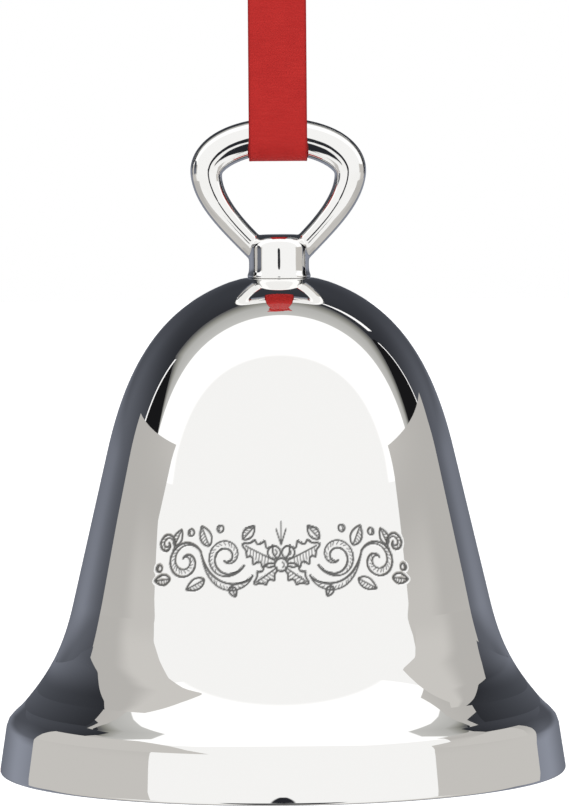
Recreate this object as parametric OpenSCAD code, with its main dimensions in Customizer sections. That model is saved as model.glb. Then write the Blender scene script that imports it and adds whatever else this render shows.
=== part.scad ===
// A silver-plated Christmas bell on a flat ribbon, with its clapper.
// Millimetres, +Z up, front towards -Y. The origin is the hanging point: the spot between the
// ribbon's two strands, just under its knot, where a hook goes. A name that ends in _h is a
// height above the bell's rim.

/* [Ribbon] */
// Width of the ribbon
ribbon_w = 6.5; // [4:0.25:7]
// Thickness of the ribbon
ribbon_t = 0.2; // [0.15:0.05:0.25]

/* [Bell shell] */
// Radius of the mouth at the rim
mouth_r = 31.75; // [31.5:0.05:32]
// Rounding of the rim's two edges
rim_edge = 0.35; // [0.2:0.05:0.5]
// Radius at the top of the lip band
lip_r = 31; // [30.5:0.1:31.4]
// Height of the lip band
lip_h = 5.3; // [4.5:0.1:6]
// Radius where the rounded shoulder of the lip ends
shoulder_r = 29.1; // [28.5:0.1:29.6]
// Height where the rounded shoulder of the lip ends
shoulder_h = 7.7; // [7:0.1:8.5]
// Lean of the outline from vertical at the shoulder's end, in degrees
shoulder_lean = 41; // [35:1:45]
// Radius where the flare meets the waist
flare_r = 23.4; // [22.5:0.1:24]
// Height where the flare meets the waist
flare_h = 18.9; // [17:0.1:21]
// Radius where the waist meets the dome
waist_r = 19.35; // [18.5:0.05:20]
// Height where the waist meets the dome
waist_h = 36.2; // [34:0.1:38]
// Radius where the dome meets the flat crown
dome_r = 5.6; // [5:0.1:6]
// Height where the dome meets the flat crown
dome_h = 54.8; // [54:0.1:55]
// Slope of the dome at the crown, in degrees
dome_slope = 20; // [15:1:25]
// Height of the flat crown that the handle stands on
crown_h = 55.25; // [55.1:0.05:55.6]
// Wall thickness of the dome, waist and flare
wall = 1.1; // [0.9:0.1:1.3]
// Wall thickness of the lip band
lip_wall = 1.8; // [1.4:0.1:2.2]

/* [Handle] */
// Radius of the neck
neck_r = 3.35; // [3:0.05:3.5]
// Height of the neck's rounded top
neck_top_h = 60.1; // [59.8:0.1:60.4]
// Height of the middle of the loop's top bar
bar_h = 71.1; // [70:0.1:72]
// Half the width of the loop, between rod centres
loop_half_w = 8.05; // [7.5:0.05:8.5]
// Drop from the top bar to the loop's widest place
loop_drop = 4.1; // [3.8:0.1:4.5]
// Rod size in the loop's plane, at the top bar
bar_w = 4.1; // [3.6:0.1:4.2]
// Rod size in the loop's plane, at the foot of each leg
leg_w = 2.7; // [2.4:0.1:3]
// Rod size from front to back, at the top bar
bar_d = 3.4; // [3:0.1:3.8]
// Rod size from front to back, at the foot of each leg
leg_d = 2.8; // [2.4:0.1:3]

/* [Clapper and its fixings] */
// Radius of the eye screw's shank
shank_r = 1.2; // [1:0.05:1.3]
// Radial clearance round the shank and the clapper's stem
running_gap = 0.05; // [0.03:0.01:0.1]
// Wire radius of the screw's eye
eye_wire_r = 0.7; // [0.6:0.05:0.8]
// Wire radius of the link
link_wire_r = 0.55; // [0.45:0.05:0.6]
// Wire radius of the clapper's eye
clapper_wire_r = 0.6; // [0.5:0.05:0.7]
// Radius of the clapper's stem
stem_r = 0.8; // [0.6:0.05:0.9]
// Radius of the clapper's ball
ball_r = 5.5; // [4.5:0.1:5.6]
// Height of the ball's centre
ball_h = 12; // [11:0.5:13]

/* [Hidden] */
$fn = 96;

silver = [0.86, 0.87, 0.88];
steel = [0.62, 0.63, 0.65];
red = [0.72, 0.14, 0.13];

// Outline of the shell
curve_pull = 0.38;
curve_steps = 12;
crown_wall = 1.2;
crown_seat_r = 3.9;
inner_seat_r = 4.6;
thin_from_h = 12;
hole_r = shank_r + running_gap;

// Neck of the handle
neck_foot_r = 3.55;
neck_round = 1.5;
bore_depth = 3.6;

// Washer and nut, under the crown
washer_r = 4;
washer_t = 0.7;
washer_top_h = crown_h - crown_wall;
nut_af = 5;
nut_t = 2;
nut_top_h = washer_top_h - washer_t;
nut_r = nut_af / 2 / cos(30);

// Rings: each hangs on the one above with ring_gap between the two wires
ring_gap = 0.1;
eye_r = 2.1;
link_r = 2.3;
clapper_eye_r = 1.9;
eye_h = 48;
link_axis_h = eye_h - eye_r;
link_h = link_axis_h + eye_wire_r + ring_gap + link_wire_r - link_r;
clapper_axis_h = link_h - link_r;
clapper_eye_h = clapper_axis_h + link_wire_r + ring_gap + clapper_wire_r - clapper_eye_r;

// Clapper: the ball is held on the stem between a collar and a peened head
ball_flat = 0.2;
collar_r = 1.4;
collar_t = 0.8;
head_t = 0.6;

// Ribbon: half of its route, from under the top bar up the front strand, as [y, z] points.
// The route is drawn for a top bar whose middle is bar_drop below the hanging point.
bar_drop = 18.9;
hang_h = bar_h + bar_drop;
ribbon_half = [
    [0, -21.6], [0.83, -21.47], [1.59, -21.08], [2.18, -20.49], [2.57, -19.73],
    [2.7, -18.9], [2.55, -16.5], [2.3, -13], [2.05, -9.5], [1.8, -6],
    [1.55, -3], [1.35, -0.5], [1.25, 0.8],
];
ribbon_route = concat(
    [for (i = [len(ribbon_half) - 1:-1:1]) ribbon_half[i]],
    [for (p = ribbon_half) [-p[0], p[1]]]
);
knot_r = 2.3;
knot_reach = 2.4;
knot_z = 2.5;
tail_t = 0.3;
tail_y = 0.5;
tail_low = 4;
tail_len = 9;
tail_cut = 2;
tail_lean = 17;

// Points and curves in a plane
function unit(v) = v / norm(v);
function left_of(v) = [-v[1], v[0]];
function ease(t) = (1 + cos(180 * min(1, max(0, t)))) / 2;
function bezier(a, b, c, d, t) =
    pow(1 - t, 3) * a + 3 * pow(1 - t, 2) * t * b + 3 * (1 - t) * t * t * c + pow(t, 3) * d;
// A curve from a, leaving along da, to b, arriving along db
function curve(a, da, b, db, steps, first = 0) =
    let (reach = curve_pull * norm(b - a))
    [for (i = [first:steps]) bezier(a, a + reach * da, b - reach * db, b, i / steps)];
function arc(centre, r, from, to, steps) =
    [for (i = [0:steps]) let (a = from + (to - from) * i / steps) centre + r * [cos(a), sin(a)]];
function along(points, i) =
    unit(points[min(i + 1, len(points) - 1)] - points[max(i - 1, 0)]);

// The bell's outline from the rim up to the crown, as [radius, height] points
lip_low = [mouth_r, rim_edge];
lip_high = [lip_r, lip_h];
shoulder = [shoulder_r, shoulder_h];
flare = [flare_r, flare_h];
waist = [waist_r, waist_h];
dome = [dome_r, dome_h];
lip_dir = unit(lip_high - lip_low);
shoulder_dir = [-sin(shoulder_lean), cos(shoulder_lean)];
waist_dir = unit(waist - flare);
dome_dir = [-cos(dome_slope), sin(dome_slope)];
outside = concat(
    [lip_low],
    curve(lip_high, lip_dir, shoulder, shoulder_dir, curve_steps / 2),
    curve(shoulder, shoulder_dir, flare, waist_dir, curve_steps, 1),
    curve(waist, waist_dir, dome, dome_dir, curve_steps)
);
function wall_at(h) = wall + (lip_wall - wall) * ease((h - lip_h) / (thin_from_h - lip_h));
inside = [
    for (i = [1:len(outside) - 1])
        outside[i] + wall_at(outside[i][1]) * left_of(along(outside, i))
];
inner_rim_r = mouth_r - lip_wall;
shell_outline = concat(
    arc([mouth_r - rim_edge, rim_edge], rim_edge, -90, 0, 4),
    [for (i = [1:len(outside) - 1]) outside[i]],
    [[crown_seat_r, crown_h], [hole_r, crown_h]],
    [[hole_r, crown_h - crown_wall], [inner_seat_r, crown_h - crown_wall]],
    [for (i = [len(inside) - 1:-1:0]) inside[i]],
    arc([inner_rim_r + rim_edge, rim_edge], rim_edge, 180, 270, 4)
);

// The loop's rod, from the middle of the top bar (u = 0) to the foot of a leg (u = 1)
loop_steps = 11;
loop_sides = 20;
loop_side = [loop_half_w, bar_h - loop_drop];
leg_foot = [2, 57.9];
leg_high_pull = [loop_half_w - 0.1, 63.6];
leg_low_pull = [4.25, 60.3];
function rod_centre(u) =
    u <= 0.5
        ? [loop_half_w * sin(180 * u), loop_side[1] + loop_drop * cos(180 * u)]
        : bezier(loop_side, leg_high_pull, leg_low_pull, leg_foot, 2 * u - 1);
function rod_size(u) =
    let (k = ease((u - 0.2) / 0.7)) [leg_w + (bar_w - leg_w) * k, leg_d + (bar_d - leg_d) * k];
loop_us = [for (i = [-2 * loop_steps:2 * loop_steps]) i / (2 * loop_steps)];
loop_centres = [for (u = loop_us) let (c = rod_centre(abs(u))) [sign(u) * c[0], c[1]]];
loop_rings = [
    for (i = [0:len(loop_us) - 1])
        let (c = loop_centres[i], across = left_of(along(loop_centres, i)), s = rod_size(abs(loop_us[i])))
        [for (k = [0:loop_sides - 1])
            let (a = 360 * k / loop_sides, p = c + s[0] / 2 * cos(a) * across)
            [p[0], s[1] / 2 * sin(a), p[1]]]
];

// Puts a piece drawn above the rim into the part's frame
module above_rim(h = 0) translate([0, 0, h - hang_h]) children();

// A ring of round wire that hangs in the XZ plane
module wire_ring(ring_r, wire_r)
    rotate([90, 0, 0]) rotate_extrude() translate([ring_r, 0]) circle(wire_r, $fn = 32);

// A solid through rings of points, closed by a flat cap at both ends
module swept(rings) {
    n = len(rings[0]);
    last = len(rings) - 1;
    sides = [
        for (i = [0:last - 1], k = [0:n - 1])
            let (m = (k + 1) % n)
            [i * n + k, i * n + m, (i + 1) * n + m, (i + 1) * n + k]
    ];
    polyhedron(
        points = [for (ring = rings) each ring],
        faces = concat(
            [[for (k = [n - 1:-1:0]) k]],
            sides,
            [[for (k = [0:n - 1]) last * n + k]]
        )
    );
}

// The ribbon's two strands and the bight that the top bar hangs in
module ribbon() {
    edge = [
        for (side = [-1, 1])
            [for (i = [0:len(ribbon_route) - 1])
                ribbon_route[i] + side * ribbon_t / 2 * left_of(along(ribbon_route, i))]
    ];
    back_edge = [for (i = [len(ribbon_route) - 1:-1:0]) edge[1][i]];
    color(red)
        rotate([90, 0, 90])
            linear_extrude(height = ribbon_w, center = true)
                polygon(concat(edge[0], back_edge));
}

// One cut end of the ribbon, above the knot
module ribbon_tail(lean)
    rotate([0, lean, 0])
        rotate([90, 0, 0])
            linear_extrude(height = tail_t, center = true)
                polygon([
                    [-ribbon_w / 2, 0], [ribbon_w / 2, 0],
                    [ribbon_w / 2, tail_len], [-ribbon_w / 2, tail_len - tail_cut],
                ]);

// The knot that joins the two strands, with its two tails
module ribbon_knot() {
    color(red) {
        translate([0, 0, knot_z]) {
            rotate([0, 90, 0]) cylinder(r = knot_r, h = 2 * knot_reach, center = true);
            for (x = [-knot_reach, knot_reach])
                translate([x, 0, 0]) sphere(knot_r);
        }
        for (side = [-1, 1])
            translate([side, side * tail_y, tail_low]) ribbon_tail(side * tail_lean);
    }
}

// The drawn shell: lip band, flare, waist and dome, with a hole in its flat crown
module bell_shell()
    color(silver)
        above_rim() rotate_extrude($fn = 180) polygon(shell_outline);

// The cast handle: a round neck with a tapped blind hole, and the loop above it
module hanging_loop() {
    neck = concat(
        [[0, crown_h], [neck_foot_r, crown_h], [neck_foot_r, crown_h + 0.3], [neck_r, crown_h + 1.6]],
        arc([neck_r - neck_round, neck_top_h - neck_round], neck_round, 0, 90, 6),
        [[0, neck_top_h]]
    );
    color(silver)
        above_rim()
            difference() {
                union() {
                    rotate_extrude() polygon(neck);
                    swept(loop_rings);
                }
                translate([0, 0, crown_h - 1])
                    cylinder(r = hole_r, h = bore_depth + 1);
            }
}

// The washer that spreads the screw's pull under the crown
module crown_washer()
    color(steel)
        above_rim(nut_top_h)
            difference() {
                cylinder(r = washer_r, h = washer_t);
                translate([0, 0, -1]) cylinder(r = hole_r, h = washer_t + 2);
            }

// The nut that locks the eye screw under the washer
module lock_nut()
    color(steel)
        above_rim(nut_top_h - nut_t)
            difference() {
                intersection() {
                    cylinder(r = nut_r, h = nut_t, $fn = 6);
                    rotate_extrude()
                        polygon([[0, 0], [nut_r - 0.3, 0], [nut_r, 0.3], [nut_r, nut_t], [0, nut_t]]);
                }
                translate([0, 0, -1]) cylinder(r = hole_r, h = nut_t + 2);
            }

// The screw that holds crown and neck together, with the eye that carries the clapper
module eye_screw() {
    shank_low_h = eye_h + eye_r;
    shank_len = crown_h + bore_depth - 0.3 - shank_low_h;
    color(steel)
        above_rim() {
            translate([0, 0, eye_h]) wire_ring(eye_r, eye_wire_r);
            translate([0, 0, shank_low_h])
                rotate_extrude()
                    polygon([
                        [0, 0], [shank_r, 0.1], [shank_r, shank_len - 0.3],
                        [shank_r - 0.3, shank_len], [0, shank_len],
                    ]);
        }
}

// The ring between the screw's eye and the clapper
module clapper_link()
    color(silver)
        above_rim(link_h) rotate([0, 0, 90]) wire_ring(link_r, link_wire_r);

// The clapper's wire: an eye, a stem, and the collar and head that hold the ball
module clapper_stem() {
    ball_top = ball_h + ball_r - ball_flat;
    ball_bottom = ball_h - ball_r + ball_flat;
    stem_top = clapper_eye_h - clapper_eye_r;
    stem = [
        [0, ball_bottom - head_t], [collar_r - 0.4, ball_bottom - head_t],
        [collar_r, ball_bottom - 0.2], [collar_r, ball_bottom], [stem_r, ball_bottom],
        [stem_r, ball_top], [collar_r, ball_top], [collar_r, ball_top + collar_t / 2],
        [stem_r, ball_top + collar_t], [stem_r, stem_top], [0, stem_top],
    ];
    color(silver)
        above_rim() {
            rotate_extrude($fn = 48) polygon(stem);
            translate([0, 0, clapper_eye_h]) wire_ring(clapper_eye_r, clapper_wire_r);
        }
}

// The drilled ball on the stem
module clapper_ball()
    color(silver)
        above_rim(ball_h)
            difference() {
                intersection() {
                    sphere(ball_r);
                    cylinder(r = ball_r + 1, h = 2 * (ball_r - ball_flat), center = true);
                }
                cylinder(r = stem_r + running_gap, h = 3 * ball_r, center = true);
            }

ribbon();
ribbon_knot();
bell_shell();
hanging_loop();
crown_washer();
lock_nut();
eye_screw();
clapper_link();
clapper_stem();
clapper_ball();
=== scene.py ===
"""The looks of a silver-plated Christmas bell on a red ribbon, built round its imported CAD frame.

Shapes are drawn in millimetres, as points above the rim for the bell and as points from the
hanging point for the ribbon, and each is placed into the frame as it is made. The front is
towards -Y.
"""

import math

import bpy
import numpy as np
from mathutils import Matrix, Vector


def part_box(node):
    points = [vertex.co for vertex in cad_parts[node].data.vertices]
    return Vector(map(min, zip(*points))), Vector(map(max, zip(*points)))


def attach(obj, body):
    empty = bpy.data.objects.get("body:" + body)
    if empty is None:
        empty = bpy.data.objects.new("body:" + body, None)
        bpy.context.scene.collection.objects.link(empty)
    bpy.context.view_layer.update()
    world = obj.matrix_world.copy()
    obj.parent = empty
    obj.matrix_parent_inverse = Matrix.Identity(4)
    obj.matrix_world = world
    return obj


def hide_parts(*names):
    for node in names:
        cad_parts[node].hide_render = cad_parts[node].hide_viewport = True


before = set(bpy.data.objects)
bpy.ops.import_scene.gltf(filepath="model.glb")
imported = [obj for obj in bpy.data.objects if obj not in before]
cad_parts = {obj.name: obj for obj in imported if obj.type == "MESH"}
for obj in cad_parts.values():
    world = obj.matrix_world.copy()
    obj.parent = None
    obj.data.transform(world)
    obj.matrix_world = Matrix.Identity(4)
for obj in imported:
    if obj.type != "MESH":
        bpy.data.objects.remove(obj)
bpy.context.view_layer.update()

MM = 0.001
SHELL_LOW, SHELL_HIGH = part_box("bell_shell")
RIM_Z = SHELL_LOW.z
ABOVE_RIM = Matrix.Translation((0, 0, RIM_Z)) @ Matrix.Scale(MM, 4)
FROM_HOOK = Matrix.Scale(MM, 4)
MOUTH_R = SHELL_HIGH.x / MM
CROWN_H = (SHELL_HIGH.z - RIM_Z) / MM


# ---------------------------------------------------------------- camera

CAMERA_DISTANCE = 600
CAMERA_ELEVATION = 3.26
CAMERA_ROLL = 0.46
CAMERA_AIM = Vector((0.49, 0, 41.12))
CAMERA_LENS = 238.7


def make_camera():
    """A long lens, a little above the bell, that crops the ribbon just under its knot."""
    data = bpy.data.cameras.new("camera")
    data.lens = CAMERA_LENS
    data.sensor_width = 36
    data.clip_start, data.clip_end = 0.05, 50
    camera = bpy.data.objects.new("camera", data)
    bpy.context.scene.collection.objects.link(camera)
    elevation = math.radians(CAMERA_ELEVATION)
    back = Vector((0, -math.cos(elevation), math.sin(elevation)))
    turn = (-back).to_track_quat("-Z", "Y").to_matrix().to_4x4()
    roll = Matrix.Rotation(math.radians(-CAMERA_ROLL), 4, "Z")
    place = ABOVE_RIM @ (CAMERA_AIM + back * CAMERA_DISTANCE)
    camera.matrix_world = Matrix.Translation(place) @ turn @ roll
    bpy.context.scene.camera = camera
    bpy.context.scene.view_settings.view_transform = "Standard"


make_camera()


# ---------------------------------------------------------------- meshes


def add_mesh(name, points, faces, place, smooth=True):
    """A new object from points in millimetres, put into the frame by the matrix place."""
    mesh = bpy.data.meshes.new(name)
    mesh.from_pydata([tuple(p) for p in points], [], faces)
    mesh.transform(place)
    mesh.polygons.foreach_set("use_smooth", [smooth] * len(mesh.polygons))
    mesh.update()
    thing = bpy.data.objects.new(name, mesh)
    bpy.context.scene.collection.objects.link(thing)
    return thing


def grid_faces(rows, columns, close_rows=False, close_columns=False):
    """Quads between neighbours of a grid whose points run row by row."""
    last_row = rows if close_rows else rows - 1
    last_column = columns if close_columns else columns - 1
    return [
        (
            i * columns + j,
            i * columns + (j + 1) % columns,
            (i + 1) % rows * columns + (j + 1) % columns,
            (i + 1) % rows * columns + j,
        )
        for i in range(last_row)
        for j in range(last_column)
    ]


def sweep(rings, closed=False):
    """Points and faces of a skin through rings of points, capped unless the rings close."""
    sides = len(rings[0])
    points = [tuple(p) for ring in rings for p in ring]
    faces = grid_faces(len(rings), sides, closed, True)
    if not closed:
        faces.append(tuple(reversed(range(sides))))
        faces.append(tuple(range(len(points) - sides, len(points))))
    return points, faces


def lathe(outline, turns=96, closed=False):
    """Points and faces of an outline of (radius, height) points turned round the axis."""
    angles = np.linspace(0, 2 * np.pi, turns, endpoint=False)
    rings = [[(r * math.sin(a), -r * math.cos(a), h) for a in angles] for r, h in outline]
    return sweep(rings, closed)


def around(sides):
    """Angles evenly spaced round a turn."""
    return [2 * math.pi * k / sides for k in range(sides)]


def wire_ring(ring_r, wire_r, centre_h, across_x=True, gap=0, turns=72, sides=20):
    """A ring of round wire on the axis, in the XZ plane or the YZ one, with an optional cut."""
    rings = []
    stops = turns + 1 if gap else turns
    for i in range(stops):
        a = gap / 2 + (2 * math.pi - gap) * i / turns
        out = Vector((math.sin(a), 0, math.cos(a)))
        ring = []
        for b in around(sides):
            p = out * (ring_r + wire_r * math.cos(b)) + Vector((0, wire_r * math.sin(b), 0))
            ring.append((p.x, p.y, p.z + centre_h) if across_x else (p.y, p.x, p.z + centre_h))
        rings.append(ring)
    return sweep(rings, closed=not gap)


def joined(*shapes):
    """Several (points, faces) shapes as one."""
    points, faces = [], []
    for more_points, more_faces in shapes:
        start = len(points)
        points += list(more_points)
        faces += [tuple(i + start for i in face) for face in more_faces]
    return points, faces


def cast(name, shape, voxel, rounds):
    """Melts overlapping shapes into one skin, and rounds the corners where they meet."""
    thing = add_mesh(name, *shape, Matrix.Identity(4))
    remesh = thing.modifiers.new("melt", "REMESH")
    remesh.mode = "VOXEL"
    remesh.voxel_size = voxel
    remesh.use_smooth_shade = True
    soften = thing.modifiers.new("soften", "SMOOTH")
    soften.factor = 0.5
    soften.iterations = rounds
    graph = bpy.context.evaluated_depsgraph_get()
    made = bpy.data.meshes.new_from_object(thing.evaluated_get(graph))
    thing.modifiers.clear()
    old = thing.data
    thing.data = made
    bpy.data.meshes.remove(old)
    made.name = name
    made.transform(ABOVE_RIM)
    made.polygons.foreach_set("use_smooth", [True] * len(made.polygons))
    made.update()
    return thing


def finish_piece(thing, material, body, slot, *nodes):
    """Gives a piece its material, hides the nodes it stands for and hangs it on a body. slot is not used.
    """
    thing.data.materials.clear()
    thing.data.materials.append(material)
    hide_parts(*nodes)
    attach(thing, body)
    return thing


def sharpen(thing, degrees):
    """Marks the edges where faces meet at more than an angle as sharp."""
    thing.data.set_sharp_from_angle(angle=math.radians(degrees))


# ---------------------------------------------------------------- material graphs


class Graph:
    """A short way to write a node tree: every call returns the socket it makes."""

    def __init__(self, tree):
        self.tree = tree
        tree.nodes.clear()

    def node(self, kind, inputs=None, **settings):
        made = self.tree.nodes.new(kind)
        for name, value in settings.items():
            setattr(made, name, value)
        for name, value in (inputs or {}).items():
            if isinstance(value, bpy.types.NodeSocket):
                self.tree.links.new(value, made.inputs[name])
            else:
                made.inputs[name].default_value = value
        return made

    def math(self, operation, *values):
        inputs = dict(enumerate(values))
        return self.node("ShaderNodeMath", inputs, operation=operation).outputs[0]

    def chain(self, operation, values):
        result = values[0]
        for value in values[1:]:
            result = self.math(operation, result, value)
        return result

    def total(self, *values):
        return self.chain("ADD", values)

    def product(self, *values):
        return self.chain("MULTIPLY", values)

    def smooth(self, value, low, high, to_low=0.0, to_high=1.0):
        inputs = {"Value": value, "From Min": low, "From Max": high, "To Min": to_low, "To Max": to_high}
        made = self.node("ShaderNodeMapRange", inputs, interpolation_type="SMOOTHSTEP")
        return made.outputs["Result"]

    def tinted(self, level, tint):
        channels = {k: self.product(level, share) for k, share in enumerate(tint)}
        return self.node("ShaderNodeCombineXYZ", channels).outputs[0]

    def mix(self, factor, first, second):
        made = self.node("ShaderNodeMix", data_type="RGBA")
        for name, value in (("Factor", factor), ("A", first), ("B", second)):
            kind = "VALUE" if name == "Factor" else "RGBA"
            socket = next(s for s in made.inputs if s.name == name and s.type == kind)
            if isinstance(value, bpy.types.NodeSocket):
                self.tree.links.new(value, socket)
            elif kind == "RGBA":
                socket.default_value = (*value, 1)
            else:
                socket.default_value = value
        return next(s for s in made.outputs if s.type == "RGBA")

    def noise(self, vector, scale, detail=2.0, roughness=0.5):
        inputs = {"Vector": vector, "Scale": scale, "Detail": detail, "Roughness": roughness}
        return self.node("ShaderNodeTexNoise", inputs).outputs["Fac"]

    def stretched(self, vector, scale):
        made = self.node("ShaderNodeMapping", {"Vector": vector, "Scale": scale})
        return made.outputs["Vector"]

    def bump(self, height, distance, strength=1.0, normal=None):
        inputs = {"Height": height, "Distance": distance, "Strength": strength}
        if normal is not None:
            inputs["Normal"] = normal
        return self.node("ShaderNodeBump", inputs).outputs["Normal"]

    def end(self, shader, kind="ShaderNodeOutputMaterial"):
        self.tree.links.new(shader.outputs[0], self.node(kind).inputs["Surface"])

    def surface(self, inputs):
        self.end(self.node("ShaderNodeBsdfPrincipled", inputs))

    def emission(self, colour):
        self.end(self.node("ShaderNodeEmission", {"Color": colour}))


def new_material(name):
    material = bpy.data.materials.new(name)
    material.use_nodes = True
    return material, Graph(material.node_tree)


def object_point(graph):
    """The place on the object, in millimetres."""
    place = graph.node("ShaderNodeTexCoord").outputs["Object"]
    return graph.stretched(place, (1 / MM,) * 3)


def specks(graph, point, per_mm, share, size):
    """One where a small pit or grain of dust lies, and zero elsewhere."""
    cells = graph.node("ShaderNodeTexVoronoi", {"Vector": point, "Scale": per_mm})
    chosen = graph.math("LESS_THAN", cells.outputs["Color"], share)
    near = graph.smooth(cells.outputs["Distance"], size, size * 0.4)
    return graph.product(chosen, near)


# Painted shade in the floor of an engraved cut: how much of the silver's colour is left there
CUT_PAINTED_SHADE = 0.16


def silver(name, colour, roughness, waves=0.0, speck_share=0.05, tarnish=0.0):
    """Polished silver plate: a mirror with hair-fine wipe marks, a few specks and, where the surface is
    cut, a rougher floor darkened with painted shade."""
    material, graph = new_material(name)
    point = object_point(graph)
    cut = graph.node("ShaderNodeAttribute", attribute_name="cut").outputs["Fac"]
    speck = specks(graph, point, 0.9, speck_share, 0.07)
    cloud = graph.noise(point, 0.35, 3.0)
    wipes = graph.noise(graph.stretched(point, (6.0, 6.0, 0.5)), 3.0, 4.0, 0.65)
    # The floor of each cut is darkened with painted shade
    shade = graph.mix(cut, colour, tuple(CUT_PAINTED_SHADE * c for c in colour))
    shade = graph.mix(graph.product(speck, 0.5), shade, (0.42, 0.41, 0.40))
    if tarnish:
        stain = graph.smooth(graph.noise(point, 0.8, 4.0), 0.45, 0.8, 0.0, tarnish)
        shade = graph.mix(stain, shade, (0.62, 0.56, 0.46))
    rough = graph.total(
        graph.smooth(cloud, 0.3, 0.7, roughness * 0.8, roughness * 1.3),
        graph.smooth(wipes, 0.6, 0.85, 0.0, roughness * 0.9),
        graph.product(speck, 0.3),
        graph.product(cut, 0.3),
    )
    normal = graph.bump(graph.product(speck, -1.0), 0.02 * MM)
    if waves:
        normal = graph.bump(graph.noise(point, 0.55, 1.5), waves * MM, 1.0, normal)
    graph.surface({"Base Color": shade, "Metallic": 1.0, "Roughness": rough, "Normal": normal})
    return material


def steel(name):
    """Plain turned steel, with fine rings left by the tool."""
    material, graph = new_material(name)
    point = object_point(graph)
    rings = graph.noise(graph.stretched(point, (0.4, 0.4, 14.0)), 2.0, 3.0)
    cloud = graph.noise(point, 0.9, 3.0)
    shade = graph.mix(cloud, (0.50, 0.50, 0.51), (0.66, 0.66, 0.68))
    rough = graph.total(
        graph.smooth(rings, 0.3, 0.7, 0.18, 0.34), graph.smooth(cloud, 0.4, 0.8, 0.0, 0.08)
    )
    normal = graph.bump(rings, 0.01 * MM, 0.5)
    graph.surface({"Base Color": shade, "Metallic": 1.0, "Roughness": rough, "Normal": normal})
    return material


RIBBON_BRIGHT = (0.55, 0.028, 0.024)
RIBBON_DEEP = (0.36, 0.013, 0.013)
RIBBON_PALE = (0.57, 0.038, 0.032)
RIBBON_EDGE = (0.20, 0.006, 0.008)
# Spacing of the ribbon's threads, in millimetres
WEFT_PITCH = 0.17
WARP_PITCH = 0.13


def taffeta(name):
    """Plain woven ribbon: crossing threads painted lighter and darker in turn, a weave pattern with painted
    shine, and a close darker selvedge.
    The strip attribute gives a point's place across and along the ribbon, in millimetres."""
    material, graph = new_material(name)
    strip = graph.node("ShaderNodeAttribute", attribute_name="strip").outputs["Vector"]
    parts = graph.node("ShaderNodeSeparateXYZ", {"Vector": strip}).outputs
    across, along = parts["X"], parts["Y"]
    wobble = graph.smooth(graph.noise(strip, 1.1, 2.0), 0.2, 0.8, -0.12, 0.12)
    warp = graph.math("SINE", graph.product(across, 2 * math.pi / WARP_PITCH))
    weft_place = graph.total(along, wobble)
    weft = graph.math("SINE", graph.product(weft_place, 2 * math.pi / WEFT_PITCH))
    crossing = graph.product(warp, weft)
    slub = graph.noise(graph.stretched(strip, (0.25, 3.2, 1.0)), 1.6, 3.0, 0.6)
    cloud = graph.noise(strip, 0.35, 2.0)
    selvedge = graph.smooth(graph.math("ABSOLUTE", across), 2.95, 3.2)
    # The thread crossings are painted lighter and darker: the weave's pattern, with painted shine and shade
    shade = graph.mix(graph.smooth(crossing, -1.0, 1.0), RIBBON_DEEP, RIBBON_BRIGHT)
    shade = graph.mix(graph.smooth(slub, 0.4, 0.8, 0.0, 0.35), shade, RIBBON_PALE)
    shade = graph.mix(graph.smooth(cloud, 0.3, 0.7, 0.0, 0.25), shade, RIBBON_DEEP)
    shade = graph.mix(graph.product(selvedge, 0.6), shade, RIBBON_EDGE)
    height = graph.total(crossing, graph.product(weft, 0.5), graph.product(slub, 1.5))
    rough = graph.smooth(crossing, -1.0, 1.0, 0.62, 0.48)
    normal = graph.bump(height, 0.012 * MM, 0.6)
    graph.surface(
        {"Base Color": shade, "Roughness": rough, "Normal": normal, "Specular IOR Level": 0.12}
    )
    return material


SILVER = (0.955, 0.95, 0.94)
silver_shell = silver("silver_shell", SILVER, 0.018, speck_share=0.035)
silver_handle = silver("silver_handle", SILVER, 0.05, waves=0.012, speck_share=0.02)
silver_clapper = silver(
    "silver_clapper", (0.92, 0.91, 0.885), 0.06, waves=0.01, speck_share=0.05, tarnish=0.3
)
fixing_steel = steel("fixing_steel")
ribbon_red = taffeta("ribbon_red")


# ---------------------------------------------------------------- ribbon and knot

RIBBON_W = 6.5
RIBBON_T = 0.2
# Half of the route, from under the top bar up the front strand, as (y, z) from the hanging point
RIBBON_HALF = [
    (0, -21.6), (0.83, -21.47), (1.59, -21.08), (2.18, -20.49), (2.57, -19.73),
    (2.7, -18.9), (2.55, -16.5), (2.3, -13), (2.05, -9.5), (1.8, -6),
    (1.55, -3), (1.35, -0.5), (1.25, 0.8),
]
RIBBON_ROUTE = RIBBON_HALF[:0:-1] + [(-y, z) for y, z in RIBBON_HALF]


def through(points, step):
    """Points about step apart on a smooth curve through the given ones."""
    points = [np.array(p, float) for p in points]
    ends = [2 * points[0] - points[1]] + points + [2 * points[-1] - points[-2]]
    result = []
    for a, b, c, d in zip(ends, ends[1:], ends[2:], ends[3:]):
        steps = max(1, round(float(np.linalg.norm(c - b)) / step))
        for i in range(steps):
            t = i / steps
            result.append(
                b
                + 0.5 * t * (c - a)
                + t * t * (a - 2.5 * b + 2 * c - 0.5 * d)
                + t**3 * (1.5 * (b - c) + 0.5 * (d - a))
            )
    return result + [points[-1]]


def strip_section(half_width, thickness):
    """Half-outline of a ribbon's cut across, as (across, out) points, with a rounded selvedge."""
    half = thickness / 2
    inner = [-1, -0.75, -0.5, -0.25, 0, 0.25, 0.5, 0.75, 1]
    edge = half_width - 2.2 * half
    top = [(edge * f, half) for f in inner]
    bead = 1.35 * half
    bends = (1.2, 0.6, 0, -0.6, -1.2)
    right = [(half_width - bead + bead * math.cos(a), bead * math.sin(a)) for a in bends]
    return top + right + [(x, -y) for x, y in reversed(top)] + [(-x, -y) for x, y in right]


def skin(rings):
    """A skin through rings of (point, place) pairs: its points, its faces and the places."""
    points, faces = sweep([[point for point, place in ring] for ring in rings])
    return points, faces, [place for ring in rings for point, place in ring]


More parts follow.
